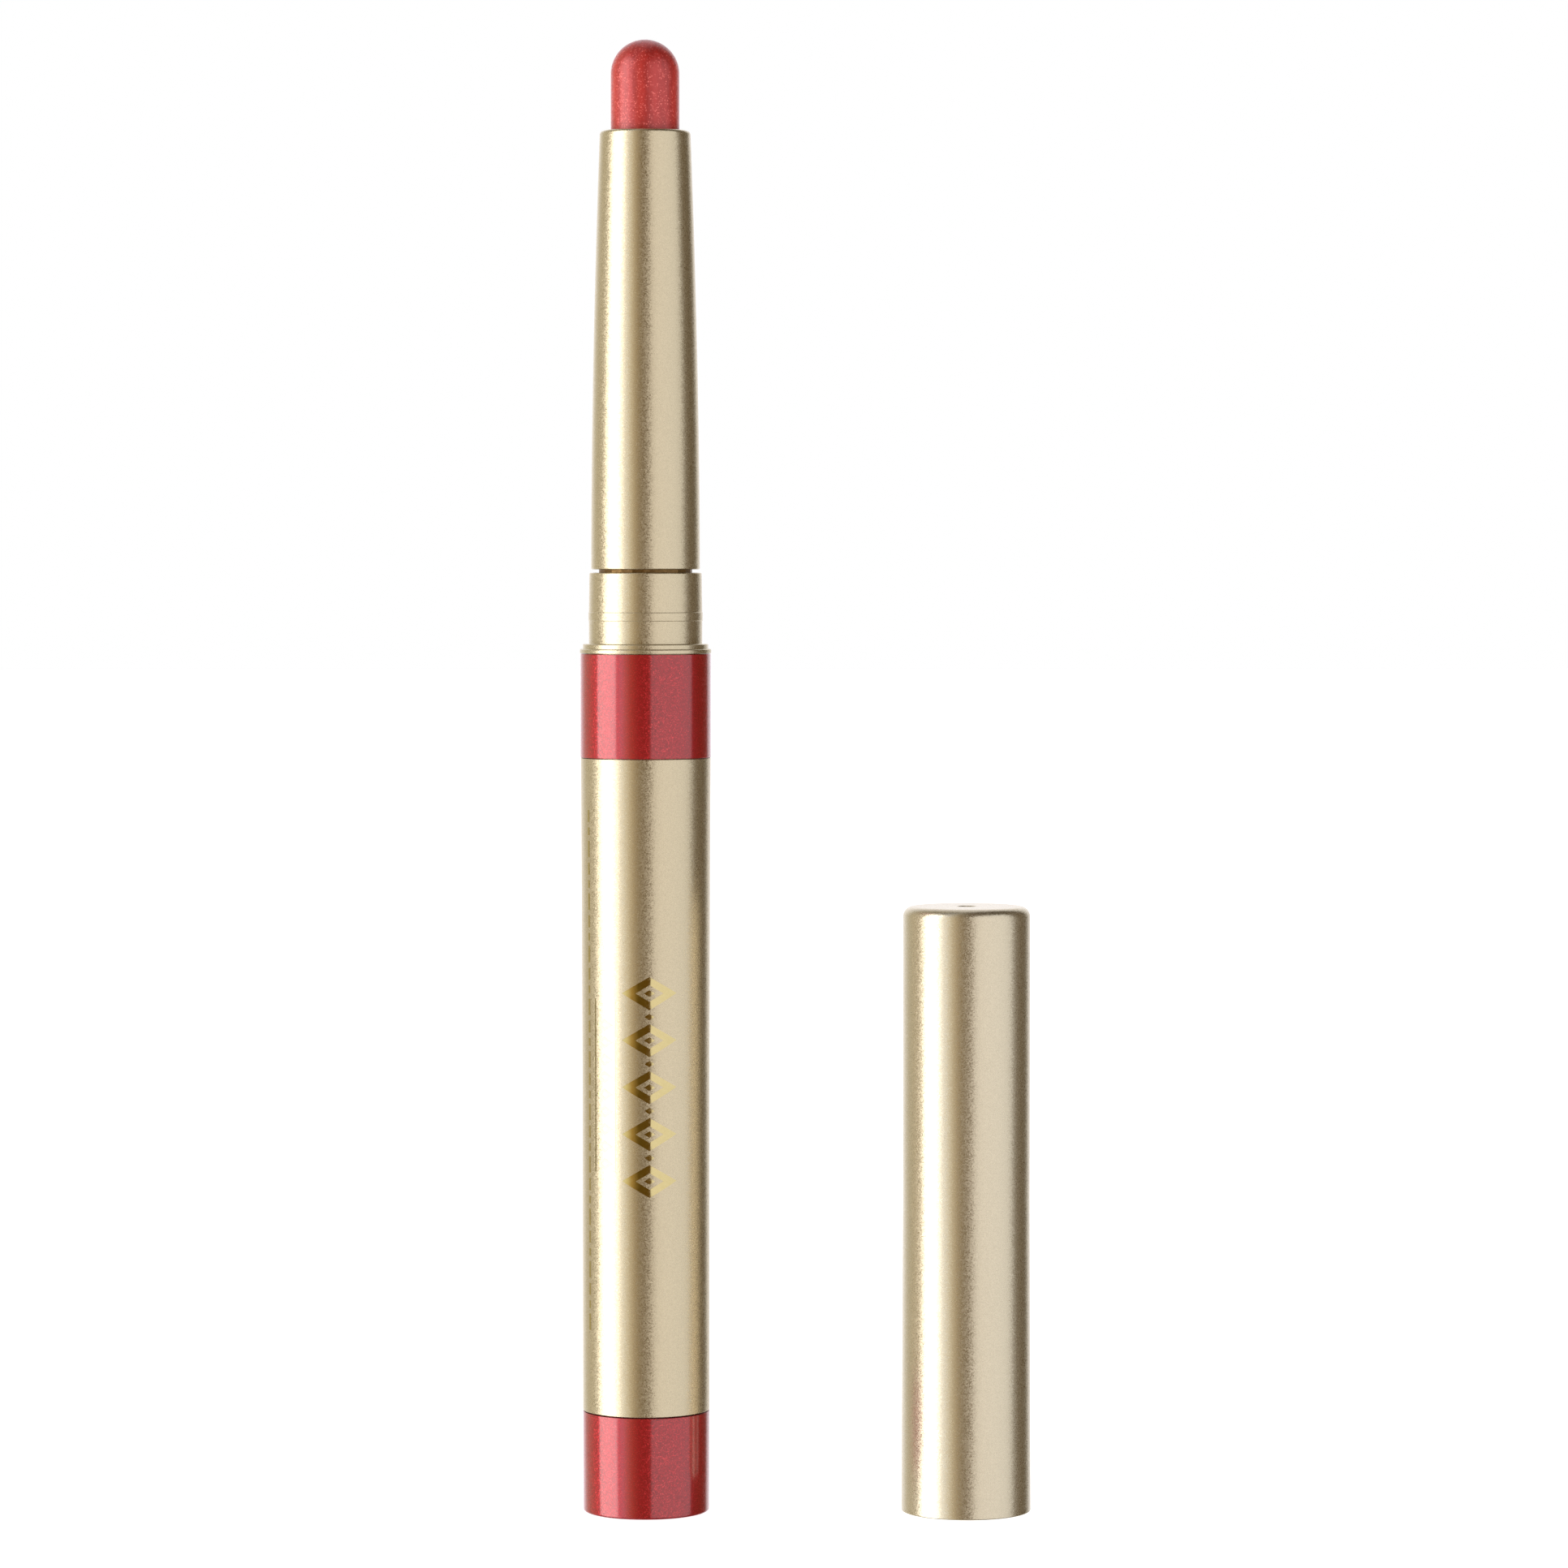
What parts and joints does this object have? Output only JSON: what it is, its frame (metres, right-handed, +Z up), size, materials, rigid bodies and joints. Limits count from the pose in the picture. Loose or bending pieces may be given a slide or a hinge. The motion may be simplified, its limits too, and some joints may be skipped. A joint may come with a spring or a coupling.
{
  "type": "twist-up lip crayon",
  "caption": "Slim twist-up lip crayon case standing on its end plug with the colour stick wound out, and its pull-off cap standing beside it.",
  "frame": {"origin": "centre of the flat base of the pen's end plug, on the surface that the pen and the cap stand on", "axes": "+Z up along the pen's axis towards the tip of the stick, +X from the pen towards the cap beside it, +Y away from the viewer"},
  "size_m": [0.0413, 0.012, 0.1345],
  "materials": {
    "gold_lacquer": "satin metallic champagne-gold lacquer with a fine flake, over moulded plastic",
    "gold_moulding": "darker gold-brown moulded plastic",
    "red_pearl": "red pearl lacquer with fine glitter under a clear gloss coat",
    "colour_stick": "rosy red wax with a fine shimmer",
    "natural_plastic": "uncoloured soft moulded plastic",
    "acetal": "off-white low-friction moulded plastic",
    "rubber": "black rubber",
    "gold_foil": "hot-stamped polished gold foil, a plain ornament"
  },
  "bodies": {
    "barrel": {"end_plug": "red_pearl", "barrel_tube": "gold_lacquer", "shade_ring": "red_pearl", "collar": "gold_lacquer", "spiral_sleeve": "acetal"},
    "nozzle": {"nozzle_shell": "gold_lacquer", "guide_tube": "gold_moulding", "friction_ring": "rubber"},
    "carrier": {"push_rod": "acetal", "stick_cup": "natural_plastic", "colour_stick": "colour_stick"},
    "cap": {"cap_shell": "gold_lacquer", "cap_liner": "natural_plastic"}
  },
  "joints": [
    {"name": "nozzle_twist", "type": "hinge", "parent": "barrel", "child": "nozzle", "pos_m": [0, 0, 0.0862], "axis": [0, 0, 1], "range_deg": [-541, 1441]},
    {"name": "stick_feed", "type": "slide", "parent": "nozzle", "child": "carrier", "axis": [0, 0, 1], "range_m": [-0.009, 0.024]},
    {"name": "cap_lift", "type": "slide", "parent": "barrel", "child": "cap", "axis": [0, 0, 1], "range_m": [0, 0.055]}
  ],
  "couplings": [
    {"joint": "nozzle_twist", "follows": "stick_feed", "rad_per_m": 1047.2}
  ]
}
